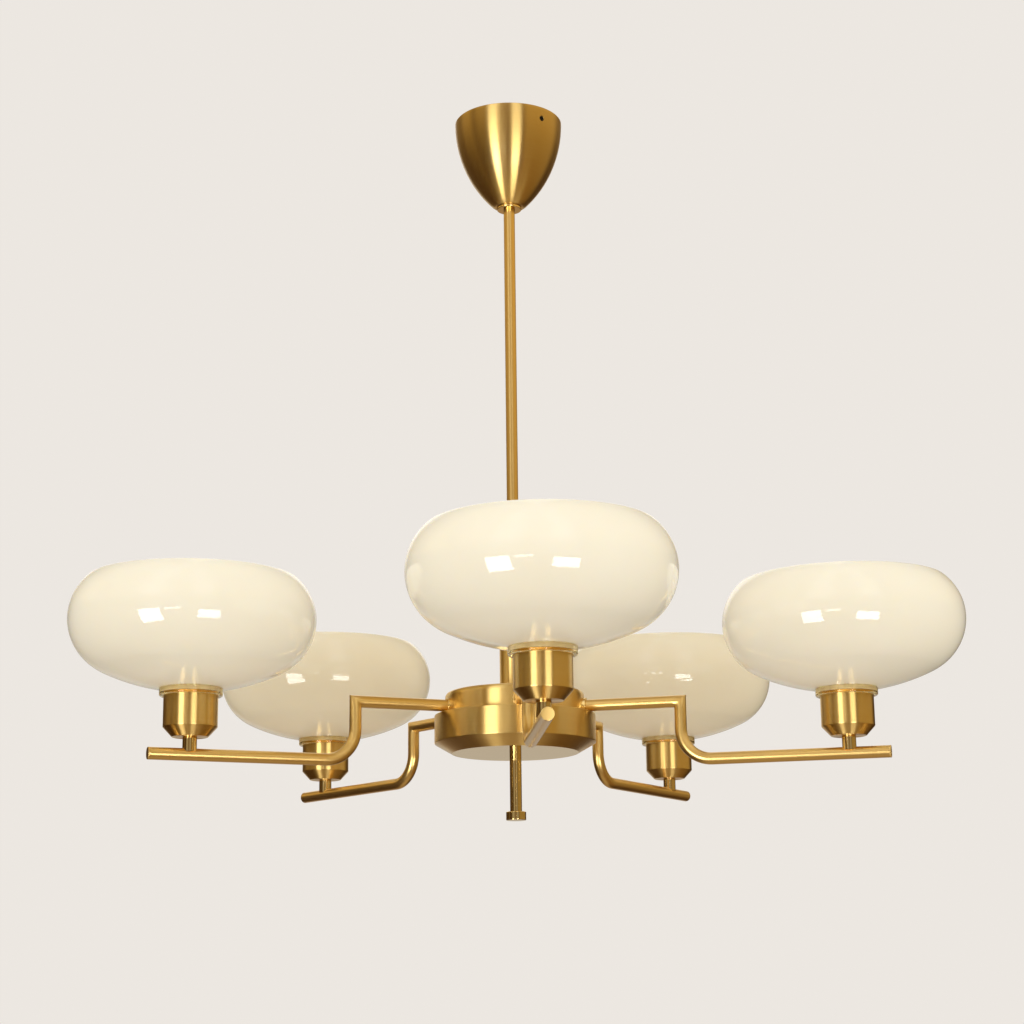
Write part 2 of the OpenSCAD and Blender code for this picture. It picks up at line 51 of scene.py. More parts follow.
# ---------------------------------------------------------------------------------------------
# Camera: a short telephoto at eye level, a little left of the lamp and looking up at it.
# It stands about 1.7 m off and leans by two thirds of a degree, so the stem leans in the frame too.
camera_at = Vector((-0.1253, -1.7068, -0.7810))
camera_yaw, camera_pitch, camera_roll = radians(4.18), radians(13.75), radians(-0.66)
look = Vector((
    sin(camera_yaw) * cos(camera_pitch), cos(camera_yaw) * cos(camera_pitch), sin(camera_pitch)))
level = Vector((cos(camera_yaw), -sin(camera_yaw), 0))
upright = level.cross(look)
right = cos(camera_roll) * level + sin(camera_roll) * upright
over = cos(camera_roll) * upright - sin(camera_roll) * level
lens = bpy.data.cameras.new("camera")
lens.sensor_width = 36
lens.lens = 71.6
lens.clip_start = 0.01
camera = bpy.data.objects.new("camera", lens)
camera.matrix_world = Matrix((
    (right.x, over.x, -look.x, camera_at.x),
    (right.y, over.y, -look.y, camera_at.y),
    (right.z, over.z, -look.z, camera_at.z),
    (0, 0, 0, 1)))
scene.collection.objects.link(camera)
scene.camera = camera
scene.view_settings.view_transform = "Standard"
scene.view_settings.look = "None"


# ---------------------------------------------------------------------------------------------
# Socket sums and the finish: a material is written as sums on what its nodes give out.
class Socket:
    """One output of a node, which takes part in plain sums."""

    def __init__(self, tree, out):
        self.tree, self.out = tree, out

    def math(self, operation, *values):
        return self.tree.node("ShaderNodeMath", {"operation": operation}, dict(enumerate(values)))[0]

    def __add__(self, other):
        return self.math("ADD", self, other)

    def __sub__(self, other):
        return self.math("SUBTRACT", self, other)

    def __mul__(self, other):
        return self.math("MULTIPLY", self, other)

    def __truediv__(self, other):
        return self.math("DIVIDE", self, other)

    def __neg__(self):
        return self.math("MULTIPLY", self, -1)

    def clamped(self):
        return self.math("MINIMUM", self.math("MAXIMUM", self, 0), 1)

    __radd__ = __add__
    __rmul__ = __mul__


class Outputs:
    """A node's outputs by name or number."""

    def __init__(self, tree, made):
        self.tree, self.made = tree, made

    def __getitem__(self, key):
        return Socket(self.tree, self.made.outputs[key])


class Tree:
    """A node tree in which every node is made the same way: its type, its settings, its inputs."""

    def __init__(self, node_tree):
        self.nodes, self.links = node_tree.nodes, node_tree.links
        self.nodes.clear()

    def node(self, kind, settings=None, inputs=None):
        made = self.nodes.new(kind)
        for key, value in (settings or {}).items():
            if key == "stops":
                self.stops(made.color_ramp, value)
            else:
                setattr(made, key, value)
        for key, value in (inputs or {}).items():
            self.feed(made, key, value)
        return Outputs(self, made)

    def feed(self, made, key, value):
        if isinstance(value, Socket):
            self.links.new(value.out, made.inputs[key])
        else:
            made.inputs[key].default_value = value

    def stops(self, ramp, stops):
        while len(ramp.elements) < len(stops):
            ramp.elements.new(1.0)
        for element, (place, colour) in zip(ramp.elements, stops):
            element.position = place
            element.color = (*colour, 1)

    def ramp(self, value, stops):
        return self.node("ShaderNodeValToRGB", {"stops": stops}, {"Fac": value})["Color"]

    def blend(self, factor, first, second, how="MIX"):
        """Colours mixed by a factor. In colour mode a Mix node takes sockets 0, 6 and 7 and gives out 2."""
        first = first if isinstance(first, Socket) else (*first, 1)
        second = second if isinstance(second, Socket) else (*second, 1)
        return self.node("ShaderNodeMix", {"data_type": "RGBA", "blend_type": how},
                         {0: factor, 6: first, 7: second})[2]

    def noise(self, where, scale, detail=3, rough=0.5):
        return self.node("ShaderNodeTexNoise", {},
                         {"Vector": where, "Scale": scale, "Detail": detail, "Roughness": rough})["Fac"]

    def stretch(self, vector, by):
        return self.node("ShaderNodeVectorMath", {"operation": "MULTIPLY"}, {0: vector, 1: by})[0]

    def bump(self, height, depth):
        """A Bump node that feeds Normal: height 0 to 1, depth in metres."""
        return self.node("ShaderNodeBump", {}, {"Strength": 1.0, "Distance": depth, "Height": height})[0]


class Finish(Tree):
    """A surface finish: one material with one shader."""

    def __init__(self, name):
        self.material = bpy.data.materials.new(name)
        self.material.use_nodes = True
        super().__init__(self.material.node_tree)
        self.place = self.node("ShaderNodeTexCoord")["Object"]

    def grain(self):
        """Where a point lies in the brushing: slow along the strokes, fast across them."""
        return self.node("ShaderNodeAttribute", {"attribute_name": "grain"})["Vector"]

    def edge(self):
        """1 on turned and rounded edges, 0 on the open surface."""
        return self.node("ShaderNodeAttribute", {"attribute_name": "edge"})["Fac"]

    def shader(self, **inputs):
        named = {key.replace("_", " "): value for key, value in inputs.items()}
        shader = self.node("ShaderNodeBsdfPrincipled", {}, named)[0]
        self.node("ShaderNodeOutputMaterial", {}, {"Surface": shader})
        return self.material


# ---------------------------------------------------------------------------------------------
# Studio: a pale floor well below the lamp, and a fill light with an even soft dome for its colours.
# Only reflections see the three soft panels and the rings of light and dark that model the brass.
FLOOR_Z, FLOOR_HALF = -2.35, 9
LAMP_MIDDLE = Vector((0, 0, -0.50))


def panel(name, azimuth, elevation, wide, high, radiance, distance=3.4):
    """A soft panel that faces the lamp; wide and high are the angles it fills, seen from the lamp."""
    a, e = radians(azimuth), radians(elevation)
    out = Vector((sin(a) * cos(e), -cos(a) * cos(e), sin(e)))
    light = bpy.data.lights.new(name, "AREA")
    light.shape = "RECTANGLE"
    light.size = 2 * distance * tan(radians(wide / 2))
    light.size_y = 2 * distance * tan(radians(high / 2))
    light.energy = radiance * light.size * light.size_y * pi
    light.color = (1.0, 0.985, 0.95)
    lamp = bpy.data.objects.new(name, light)
    lamp.location = LAMP_MIDDLE + out * distance
    lamp.rotation_euler = out.to_track_quat("Z", "Y").to_euler()
    scene.collection.objects.link(lamp)
    return lamp


for name, azimuth, elevation, wide, high, radiance in (
        ("panel_left", -38.5, -20.5, 19, 23, 9.5), ("panel_right", 15.0, -21.5, 20, 15, 9.5),
        ("panel_narrow", -17.5, -11.0, 14, 4, 5.0)):
    panel(name, azimuth, elevation, wide, high, radiance).visible_diffuse = False
panel("front_fill", -8.0, 6.0, 34, 26, 1.5, 2.6).visible_glossy = False

world = bpy.data.worlds.new("surroundings")
scene.world = world
world.use_nodes = True
around = Tree(world.node_tree)
way = around.node("ShaderNodeTexCoord")["Generated"]
split = around.node("ShaderNodeSeparateXYZ", {}, {0: way})
azimuth_angle = around.node("ShaderNodeMath", {"operation": "ARCTAN2"}, {0: split[0], 1: -split[1]})[0]
turn = azimuth_angle / (2 * pi) + 0.5
rise = around.node("ShaderNodeMath", {"operation": "ARCSINE"}, {0: split[2]})[0] / pi + 0.5
WALL, MIDDLE = (0.40, 0.385, 0.365), (0.17, 0.13, 0.085)
GOLD, SHADE, DIM = (0.25, 0.18, 0.07), (0.05, 0.028, 0.010), (0.11, 0.075, 0.03)


def at_turn(azimuth):
    """A direction in degrees, from the camera's side towards +X, as a place on a ring's ramp."""
    return azimuth / 360 + 0.5


def ring(left, far, pane):
    """The surroundings at one height: tones on the left, far round to both sides, and of the windows."""
    return around.ramp(turn, [
        (at_turn(-180), WALL), (at_turn(-166), WALL), (at_turn(-156), far), (at_turn(-128), far),
        (at_turn(-118), left), (at_turn(-98), left), (at_turn(-92), DIM), (at_turn(-84), DIM),
        (at_turn(-78), left), (at_turn(-64), left), (at_turn(-50), DIM), (at_turn(-45), pane),
        (at_turn(-25), pane), (at_turn(-21), MIDDLE), (at_turn(2), MIDDLE), (at_turn(6), pane),
        (at_turn(22), pane), (at_turn(26), DIM), (at_turn(30), DIM), (at_turn(38), GOLD),
        (at_turn(112), GOLD), (at_turn(130), far), (at_turn(156), far), (at_turn(166), WALL), (1, WALL)])


above = around.ramp(rise, [(0.0, (0, 0, 0)), (0.555, (0, 0, 0)), (0.60, (1, 1, 1)), (1, (1, 1, 1))])
column = around.ramp(rise, [
    (0.0, (0.30, 0.22, 0.15)), (0.38, (0.30, 0.22, 0.15)), (0.45, (0.42, 0.40, 0.37)),
    (0.555, (0.42, 0.40, 0.37)), (0.60, (1.0, 0.97, 0.93)), (0.67, (1.0, 0.97, 0.93)),
    (0.76, (0.70, 0.66, 0.62)), (1, (0.70, 0.66, 0.62))])
rings = around.blend(above, ring(SHADE, SHADE, (0.28, 0.265, 0.24)), ring(GOLD, DIM, (0.42, 0.405, 0.38)))
mirrored = around.blend(1.0, rings, column, "MULTIPLY")
below = around.ramp(rise, [(0.0, (1, 1, 1)), (0.13, (1, 1, 1)), (0.20, (0, 0, 0)), (1, (0, 0, 0))])
mirrored = around.blend(below, mirrored, (0.14, 0.105, 0.065))
soft = around.ramp(rise, [(0.0, (0.42, 0.38, 0.32)), (0.5, (0.88, 0.87, 0.85)), (0.75, (0.74, 0.735, 0.73)),
                          (1, (0.72, 0.715, 0.71))])
light_path = around.node("ShaderNodeLightPath")
seen = around.blend(light_path["Is Glossy Ray"], soft, mirrored)
SOFT_GAIN, GLOSS_GAIN = 1.36, 3.0
BACKDROP = tuple(c / SOFT_GAIN for c in (0.84, 0.80, 0.753))
backdrop = around.blend(light_path["Is Camera Ray"], seen, BACKDROP)
gain = SOFT_GAIN + (GLOSS_GAIN - SOFT_GAIN) * light_path["Is Glossy Ray"]
sky = around.node("ShaderNodeBackground", {}, {"Color": backdrop, "Strength": gain})[0]
around.node("ShaderNodeOutputWorld", {}, {"Surface": sky})

floor_finish = Finish("floor_paint")
floor_clouds = floor_finish.noise(floor_finish.place, 1.5)
floor_finish.shader(Base_Color=floor_finish.blend(floor_clouds, (0.74, 0.71, 0.68), (0.78, 0.75, 0.72)),
                    Roughness=0.8)
floor_mesh = bpy.data.meshes.new("floor")
floor_corners = [(x * FLOOR_HALF, y * FLOOR_HALF, FLOOR_Z) for x, y in ((-1, -1), (1, -1), (1, 1), (-1, 1))]
floor_mesh.from_pydata(floor_corners, [], [(0, 1, 2, 3)])
floor_mesh.materials.append(floor_finish.material)
floor = bpy.data.objects.new("floor", floor_mesh)
floor.visible_glossy = False
scene.collection.objects.link(floor)


# ---------------------------------------------------------------------------------------------
# Ceiling plate: a pressed steel dish with two slots for the ceiling screws, zinc plated.
# The hanger nut, the bush's nut, the hub's nuts, the arm nuts and the cup nuts share that plating.
def zinc_plating():
    """Zinc: cool grey in small crystal patches, a dull film over it and fine pits."""
    zinc = Finish("zinc_plating")
    patches = zinc.node("ShaderNodeTexVoronoi", {}, {"Vector": zinc.place, "Scale": 420})["Color"]
    patch = zinc.node("ShaderNodeSeparateColor", {}, {0: patches})[0]
    film = zinc.noise(zinc.place, 60)
    pits = zinc.noise(zinc.place, 2600, 2)
    colour = zinc.blend(patch, (0.52, 0.53, 0.55), (0.66, 0.67, 0.69))
    zinc.shader(Base_Color=zinc.blend(film, colour, (0.60, 0.59, 0.55)), Metallic=1.0,
                Roughness=0.26 + 0.14 * film + 0.08 * patch, Normal=zinc.bump(pits, 0.00002))
    return zinc.material


def keeps(node, material):
    """A CAD node that is right as it is, in its own finish."""
    piece = frame["nodes"][node]
    piece.data.materials.clear()
    piece.data.materials.append(material)
    return piece


ZINC = zinc_plating()
for node in ("ceiling_plate", "hanger_nut", "canopy_bush_nut", "hub_nuts", "arm_nuts", "cup_nuts"):
    keeps(node, ZINC)


# ---------------------------------------------------------------------------------------------
# Terminal block, splice caps and lampholders: white moulded plastic, gloss off the mould.
# The supply cable takes the same white plastic; the thin leads in the arms are plain insulation, a little
# duller.
def moulded(name, light, dark, gloss):
    """Moulded plastic: faint flow clouds, a fine mould texture and a hint of depth."""
    plastic = Finish(name)
    flow = plastic.noise(plastic.place, 90)
    skin = plastic.noise(plastic.place, 3000, 2)
    plastic.shader(Base_Color=plastic.blend(flow, dark, light), Roughness=gloss + 0.10 * flow,
                   Normal=plastic.bump(skin, 0.00001), Subsurface_Weight=0.08, Subsurface_Scale=0.002)
    return plastic.material


WHITE_PLASTIC = moulded("white_plastic", (0.86, 0.86, 0.83), (0.80, 0.80, 0.77), 0.26)
LEAD_SHEATH = moulded("lead_sheath", (0.74, 0.68, 0.54), (0.66, 0.60, 0.46), 0.38)
keeps("terminal_block", WHITE_PLASTIC)
keeps("hub_splices", WHITE_PLASTIC)
keeps("supply_cable", WHITE_PLASTIC)
keeps("arm_leads", LEAD_SHEATH)


# ---------------------------------------------------------------------------------------------
# Ceiling cup: a bullet spun from thin brass sheet on a lathe, brushed on the lathe and lacquered.
# Its open rim faces the ceiling, and two small grub screws in its side hold it to the plate.
def rounded(corners, closed=True):
    """A turned outline: corners of (radius, height, rounding) become points of (radius, height, edge)."""
    points = []
    count = len(corners)
    for k, (r, z, size) in enumerate(corners):
        here = Vector((r, z))
        inner = closed or 0 < k < count - 1
        if not inner or size <= 0:
            points.append((r, z, 0.0))
            continue
        before = Vector(corners[k - 1][:2]) - here
        after = Vector(corners[(k + 1) % count][:2]) - here
        bend = before.angle(after)
        reach = min(size / tan(bend / 2), 0.49 * before.length, 0.49 * after.length)
        start, end = here + before.normalized() * reach, here + after.normalized() * reach
        steps = 4
        for s in range(steps + 1):
            t = s / steps
            p = start * (1 - t) ** 2 + here * 2 * t * (1 - t) + end * t ** 2
            points.append((p.x, p.y, 0.0 if s in (0, steps) else 1.0))
    return points


GRAIN_SLOW, GRAIN_FAST = 30.0, 2400.0


def finished(name, mesh, bodies_node, material):
    """Puts a mesh in the scene with smooth faces, and lets it ride with the node it stands for."""
    for face in mesh.polygons:
        face.use_smooth = True
    mesh.set_sharp_from_angle(angle=radians(40))
    mesh.materials.append(material)
    piece = bpy.data.objects.new(name, mesh)
    scene.collection.objects.link(piece)
    soft = piece.modifiers.new("even_normals", "WEIGHTED_NORMAL")
    soft.keep_sharp = True
    body = next(b for b, nodes in frame["record"]["behaviour"]["bodies"].items() if bodies_node in nodes)
    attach(piece, body)
    return piece


def lathe(name, node, outline, at, material, turns=96, closed=True, along=(0, 0, 1)):
    """Turns an outline of (radius, height, edge) round an axis through at, and keeps its brushing."""
    build = bmesh.new()
    grain = build.verts.layers.float_vector.new("grain")
    edge = build.verts.layers.float.new("edge")
    rings, run, last = [], 0.0, None
    lay = Vector((0, 0, 1)).rotation_difference(Vector(along)).to_matrix()
    for r, z, worn in outline:
        run += (Vector((r, z)) - last).length if last else 0.0
        last = Vector((r, z))
        ring_verts = []
        for k in range(turns if r > 1e-6 else 1):
            a = 2 * pi * k / turns
            vert = build.verts.new(Vector(at) + lay @ Vector((r * cos(a), r * sin(a), z)))
            vert[grain] = (r * cos(a) * GRAIN_SLOW, r * sin(a) * GRAIN_SLOW, run * GRAIN_FAST)
            vert[edge] = worn
            ring_verts.append(vert)
        rings.append(ring_verts)
    pairs = list(zip(rings, rings[1:])) + ([(rings[-1], rings[0])] if closed else [])
    for lower, upper in pairs:
        for k in range(turns):
            n = (k + 1) % turns
            corners = [lower[k % len(lower)], lower[n % len(lower)],
                       upper[n % len(upper)], upper[k % len(upper)]]
            face = list(dict.fromkeys(corners))
            if len(face) > 2:
                build.faces.new(face)
    bmesh.ops.recalc_face_normals(build, faces=build.faces)
    mesh = bpy.data.meshes.new(name)
    build.to_mesh(mesh)
    build.free()
    return finished(name, mesh, node, material)


def brass_finish(name, low_tone, high_tone, rough, depth, lacquer, spin):
    """Brass: strokes of the brush, clouds in the lacquer, and edges rubbed brighter."""
    brass = Finish(name)
    strokes = brass.noise(brass.grain(), 1.0, 2, 0.6)
    wide = brass.noise(brass.stretch(brass.grain(), (1, 1, 0.22)), 1.0, 3, 0.55)
    clouds = brass.noise(brass.place, 22)
    worn = brass.edge()
    tone = brass.blend((0.55 * clouds + 0.45 * wide).clamped(), low_tone, high_tone)
    rubbed = (worn * (0.5 + 0.5 * clouds) * 0.5).clamped()
    bright = tuple(min(1.0, c * 1.12 + 0.03) for c in high_tone)
    brass.shader(
        Base_Color=brass.blend(rubbed, tone, bright), Metallic=1.0,
        Roughness=(rough + 0.05 * (wide - 0.5) + 0.05 * (clouds - 0.5) - 0.02 * worn).clamped(),
        Anisotropic=spin, Anisotropic_Rotation=0.25, Normal=brass.bump(strokes, depth),
        Coat_Weight=lacquer, Coat_Roughness=0.24, Coat_IOR=1.45)
    return brass.material


SPUN_BRASS = brass_finish("spun_brass", (0.80, 0.535, 0.17), (0.885, 0.65, 0.25), 0.32, 0.0000002, 0.4, 1.0)
TUBE_BRASS = brass_finish("tube_brass", (0.80, 0.535, 0.17), (0.87, 0.62, 0.235), 0.32, 0.0000001, 0.5, 0.0)
TURNED_BRASS = brass_finish("turned_brass", (0.86, 0.62, 0.24), (0.92, 0.71, 0.34), 0.09, 0.0000003, 0.1, 0.0)


def arc(cx, cy, radius, start, end, steps, edge=0.0):
    """Points on an arc of an outline; angles in degrees from the radius towards up."""
    return [(cx + radius * cos(radians(start + (end - start) * k / steps)),
             cy + radius * sin(radians(start + (end - start) * k / steps)), edge) for k in range(steps + 1)]


low_corner, high_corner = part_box("canopy")
cup_top, cup_foot, cup_rim_r = high_corner.z, low_corner.z, high_corner.x
BULLET_R, CUP_SHEET, CUP_HOLE_R = 0.110, 0.0012, 0.0078
bullet_x = cup_rim_r - BULLET_R
foot_angle = -degrees(asin((cup_top - cup_foot) / BULLET_R))
foot_r = bullet_x + BULLET_R * cos(radians(foot_angle))
outside = arc(bullet_x, cup_top, BULLET_R, foot_angle, 0, 30)
inside = arc(bullet_x, cup_top, BULLET_R - CUP_SHEET, 0, foot_angle, 30)
canopy_outline = (
    [(CUP_HOLE_R, cup_foot, 0.0), (foot_r - 0.0012, cup_foot, 0.0), (foot_r - 0.0004, cup_foot + 0.0003, 1.0)]
    + outside[1:-1]
    + [(cup_rim_r, cup_top - 0.0004, 1.0), (cup_rim_r - 0.0003, cup_top, 1.0),
       (cup_rim_r - 0.0009, cup_top, 1.0), (cup_rim_r - CUP_SHEET, cup_top - 0.0004, 1.0)]
    + inside[1:-1]
    + [(foot_r - 0.0022, cup_foot + CUP_SHEET, 0.0), (CUP_HOLE_R, cup_foot + CUP_SHEET, 0.0)])
canopy = lathe("ceiling_cup", "canopy", canopy_outline, (0, 0, 0), SPUN_BRASS, 128)

low_corner, high_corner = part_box("canopy_screws")
SCREW_TURN, SCREW_HOLE_R, DRILL_L = radians(35), 0.0025, 0.14
drill_build = bmesh.new()
bmesh.ops.create_cone(
    drill_build, segments=32, radius1=SCREW_HOLE_R, radius2=SCREW_HOLE_R, depth=DRILL_L, cap_ends=True)
drill_mesh = bpy.data.meshes.new("drill")
drill_build.to_mesh(drill_mesh)
drill_build.free()
drill = bpy.data.objects.new("drill", drill_mesh)
drill_way = Vector((sin(SCREW_TURN), -cos(SCREW_TURN), 0))
drill.matrix_world = (Matrix.Translation((0, 0, (low_corner.z + high_corner.z) / 2))
                      @ Vector((0, 0, 1)).rotation_difference(drill_way).to_matrix().to_4x4())
scene.collection.objects.link(drill)
holes = canopy.modifiers.new("screw_holes", "BOOLEAN")
holes.operation = "DIFFERENCE"
holes.object = drill
canopy.modifiers.move(1, 0)
canopy.data = bpy.data.meshes.new_from_object(canopy.evaluated_get(bpy.context.evaluated_depsgraph_get()))
canopy.modifiers.clear()
bpy.data.objects.remove(drill)
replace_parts(canopy, "canopy")

# ---------------------------------------------------------------------------------------------
# Grub screws: two slotted screws of blackened steel, sunk a little into the ceiling cup's side.
# Blackened steel, made darker still: the colour also paints the shade inside the screw holes.
black = Finish("black_oxide_and_hole_shade")
black_clouds = black.noise(black.place, 700)
black.shader(Base_Color=black.blend(black_clouds, (0.004, 0.004, 0.003), (0.012, 0.011, 0.010)),
             Metallic=0.6, Roughness=0.35 + 0.2 * black_clouds,
             Normal=black.bump(black.noise(black.place, 4000), 0.00001))
keeps("canopy_screws", black.material)

# ---------------------------------------------------------------------------------------------
# Bush: a turned brass collar, polished, clamped in the ceiling cup's foot; the stem runs through it.
# The hanger nipple and the hub's spindle are threaded brass rod with the same polish.
low_corner, high_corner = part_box("canopy_bush")
bush_z, bush_r = low_corner.z, high_corner.x
RUNNING_R, BUSH_NECK_R = 0.0051, 0.0075
bush = lathe("cup_bush", "canopy_bush", rounded([
    (RUNNING_R, bush_z, 0), (bush_r, bush_z, 0.0006), (bush_r, cup_foot, 0.0005),
    (BUSH_NECK_R, cup_foot, 0), (BUSH_NECK_R, high_corner.z, 0.0003), (RUNNING_R, high_corner.z, 0)]),
    (0, 0, 0), TURNED_BRASS)
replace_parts(bush, "canopy_bush")


def threaded_brass():
    """Threaded rod: fine rings of a metric thread cut in bright brass."""
    rod = Finish("threaded_brass")
    height = rod.node("ShaderNodeSeparateXYZ", {}, {0: rod.place})[2]
    ridge = rod.node("ShaderNodeMath", {"operation": "PINGPONG"}, {0: height, 1: 0.0005})[0] * 2000
    clouds = rod.noise(rod.place, 120)
    rod.shader(Base_Color=rod.blend(clouds, (0.72, 0.50, 0.21), (0.82, 0.61, 0.29)), Metallic=1.0,
               Roughness=0.2 + 0.1 * clouds, Normal=rod.bump(ridge, 0.0004))
    return rod.material


THREADED_BRASS = threaded_brass()
keeps("hanger_nipple", THREADED_BRASS)
keeps("hub_spindle", THREADED_BRASS)

# ---------------------------------------------------------------------------------------------
# Stem: one straight drawn brass tube, 10 mm across, brushed along its length and lacquered.
# It screws to the hanger nipple inside the ceiling cup and stands in the hub's sleeve.
low_corner, high_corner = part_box("stem")
TUBE_R = 0.005


def swept(name, node, path, sections, material, turns=32):
    """Sweeps a round section along a flat path; sections gives each point's cross direction and stretch."""
    build = bmesh.new()
    grain = build.verts.layers.float_vector.new("grain")
    build.verts.layers.float.new("edge")
    side, run = sections[0][2], 0.0
    rings = []
    for k, (point, across) in enumerate(zip(path, sections)):
        run += (point - path[k - 1]).length if k else 0.0
        ring_verts = []
        for t in range(turns):
            a = 2 * pi * t / turns
            vert = build.verts.new(point + TUBE_R * (cos(a) * across[0] * across[1] + sin(a) * side))
            vert[grain] = (TUBE_R * cos(a) * GRAIN_SLOW, TUBE_R * sin(a) * GRAIN_SLOW, run * GRAIN_FAST)
            ring_verts.append(vert)
        rings.append(ring_verts)
    for lower, upper in zip(rings, rings[1:]):
        for t in range(turns):
            n = (t + 1) % turns
            build.faces.new((lower[t], lower[n], upper[n], upper[t]))
    build.faces.new(rings[0])
    build.faces.new(rings[-1])
    bmesh.ops.recalc_face_normals(build, faces=build.faces)
    mesh = bpy.data.meshes.new(name)
    build.to_mesh(mesh)
    build.free()
    return finished(name, mesh, node, material)


def upright_tube(name, node, z0, z1, material):
    """A straight tube on the lamp's axis, as rings along its height."""
    steps = 12
    path = [Vector((0, 0, z0 + (z1 - z0) * k / steps)) for k in range(steps + 1)]
    return swept(name, node, path, [(Vector((1, 0, 0)), 1.0, Vector((0, 1, 0)))] * len(path), material)


stem = upright_tube("stem_tube", "stem", low_corner.z, high_corner.z, TUBE_BRASS)
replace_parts(stem, "stem")

# ---------------------------------------------------------------------------------------------
# Sleeve: a spun brass cap round the stem's foot that hides the nuts on top of the hub.
low_corner, high_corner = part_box("stem_sleeve")
sleeve_r, sleeve_foot, sleeve_top = high_corner.x, low_corner.z, high_corner.z
SHELL = 0.0012
sleeve = lathe("hub_sleeve", "stem_sleeve", rounded([
    (sleeve_r - SHELL, sleeve_foot, 0), (sleeve_r, sleeve_foot, 0.0004), (sleeve_r, sleeve_top, 0.002),
    (RUNNING_R, sleeve_top, 0.0003), (RUNNING_R, sleeve_top - SHELL, 0),
    (sleeve_r - SHELL, sleeve_top - SHELL, 0.001)]), (0, 0, 0), SPUN_BRASS)
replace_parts(sleeve, "stem_sleeve")

# ---------------------------------------------------------------------------------------------
# Hub: two spun brass shells. The upper one is a drum with a rounded top edge that the arms enter;
# the lower one is a wider pan with a cone under it, closed by a flat, brightly finished base.
low_corner, high_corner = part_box("hub_top")
hub_join, hub_top_z, upper_r = low_corner.z, high_corner.z, high_corner.x
SPINDLE_HOLE_R = 0.004
hub_drum = lathe("hub_drum", "hub_top", rounded([
    (upper_r - SHELL, hub_join, 0), (upper_r, hub_join, 0.0003), (upper_r, hub_top_z, 0.005),
    (SPINDLE_HOLE_R, hub_top_z, 0), (SPINDLE_HOLE_R, hub_top_z - SHELL, 0),
    (upper_r - SHELL, hub_top_z - SHELL, 0.004)]),
    (0, 0, 0), SPUN_BRASS, 128)
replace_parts(hub_drum, "hub_top")

low_corner, high_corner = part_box("hub_bowl")
base_z, lower_r = low_corner.z, high_corner.x
CONE_H, BASE_R, SHELF_R = 0.0084, 0.0535, 0.0575
edge_z, seam_r = base_z + CONE_H, BASE_R - 0.0006
hub_pan = lathe("hub_pan", "hub_bowl", rounded([
    (seam_r, base_z, 0), (BASE_R, base_z, 0.0004), (lower_r, edge_z, 0.0010), (lower_r, hub_join, 0.0008),
    (SHELF_R, hub_join, 0), (SHELF_R, hub_join - SHELL, 0), (lower_r - SHELL, hub_join - SHELL, 0),
    (lower_r - SHELL, edge_z + 0.0006, 0), (seam_r, base_z + SHELL, 0)]),
    (0, 0, 0), SPUN_BRASS, 128)
hub_base = lathe("hub_base", "hub_bowl", rounded([
    (SPINDLE_HOLE_R, base_z, 0), (seam_r, base_z, 0), (seam_r, base_z + SHELL, 0),
    (SPINDLE_HOLE_R, base_z + SHELL, 0)]),
    (0, 0, 0), TURNED_BRASS, 128)
for piece in (hub_pan, hub_base):
    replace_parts(piece, "hub_bowl")

# ---------------------------------------------------------------------------------------------
# Finial: a short piece of the same tube under the hub, closed by a turned knob that screws on
# from below. The knob is a plain disc with broken edges and a blind hole for the spindle.
low_corner, high_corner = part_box("finial_tube")
finial = upright_tube("finial_rod", "finial_tube", low_corner.z, high_corner.z, TURNED_BRASS)
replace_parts(finial, "finial_tube")

low_corner, high_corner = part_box("finial_knob")
knob_low, knob_top, knob_r = low_corner.z, high_corner.z, high_corner.x
KNOB_HOLE_R, KNOB_HOLE_H = 0.0040, 0.005
knob = lathe("end_knob", "finial_knob", rounded([
    (0.0, knob_low + 0.0003, 0), (knob_r - 0.0022, knob_low, 0.0003), (knob_r, knob_low, 0.0007),
    (knob_r, knob_top, 0.0007), (KNOB_HOLE_R, knob_top, 0.0003),
    (KNOB_HOLE_R, knob_top - KNOB_HOLE_H, 0), (0.0, knob_top - KNOB_HOLE_H, 0)], closed=False),
    (0, 0, 0), TURNED_BRASS, closed=False)
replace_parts(knob, "finial_knob")

# ---------------------------------------------------------------------------------------------
# Arms: five tubes. Each leaves the hub level, turns down in a sharp mitred elbow that is soldered
# and dressed flush, bends outward again on an even radius, and runs on level past its cup.
ARMS = range(1, 6)
BEND_R, LEG_R = 0.025, 0.141
MITRE_GAP = 0.006
UPPER_STEPS, LEG_STEPS, BEND_STEPS, RUN_STEPS = 6, 4, 16, 10


def bowl_axis(i):
    """Where the axis of cup i stands."""
    low_c, high_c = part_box(f"cup_{i}")
    axis = (low_c + high_c) / 2
    axis.z = 0
    return axis


def outward(i):
    """The way that arm i points."""
    return bowl_axis(i).normalized()


low_corner, high_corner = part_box("arm_1")
RUN_Z, TOP_Z = low_corner.z + TUBE_R, high_corner.z - TUBE_R
ARM_IN, ARM_END = -high_corner.y, -low_corner.y

